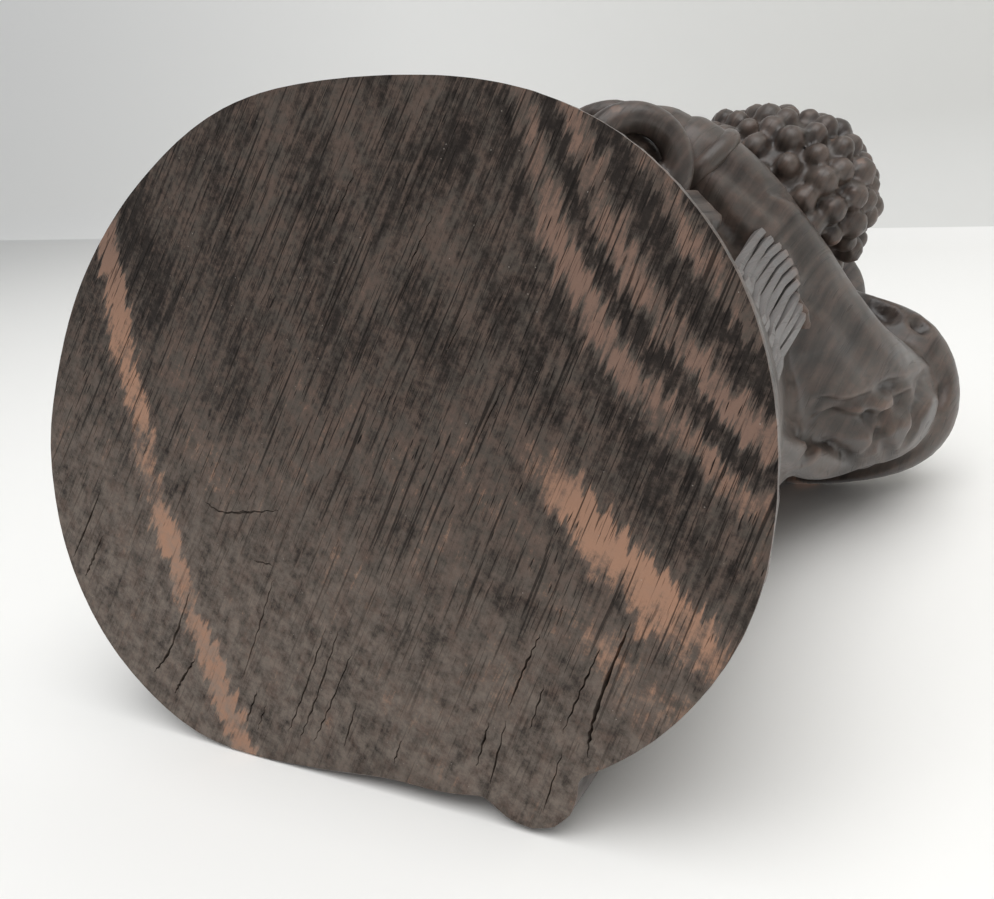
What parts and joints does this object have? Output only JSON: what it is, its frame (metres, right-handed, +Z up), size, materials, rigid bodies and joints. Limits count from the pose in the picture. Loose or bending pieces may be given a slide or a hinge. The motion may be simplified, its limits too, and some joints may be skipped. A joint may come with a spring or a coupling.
{
  "type": "carved bust",
  "caption": "Carved dark wood bust of a hooded sage with a long curly beard, sleeved arms meeting at the waist and a flat sawn underside.",
  "frame": {"origin": "middle of the flat sawn underside's box, on the surface the bust stands on", "axes": "+Z up along the figure, -Y the way the body faces, +X the figure's left side"},
  "size_m": [0.0988, 0.0918, 0.1681],
  "materials": {
    "wood": "streaked dark brown and black wood, satin where it is carved and matt on the sawn underside"
  },
  "bodies": {
    "root": {"bust": "wood"}
  },
  "joints": []
}
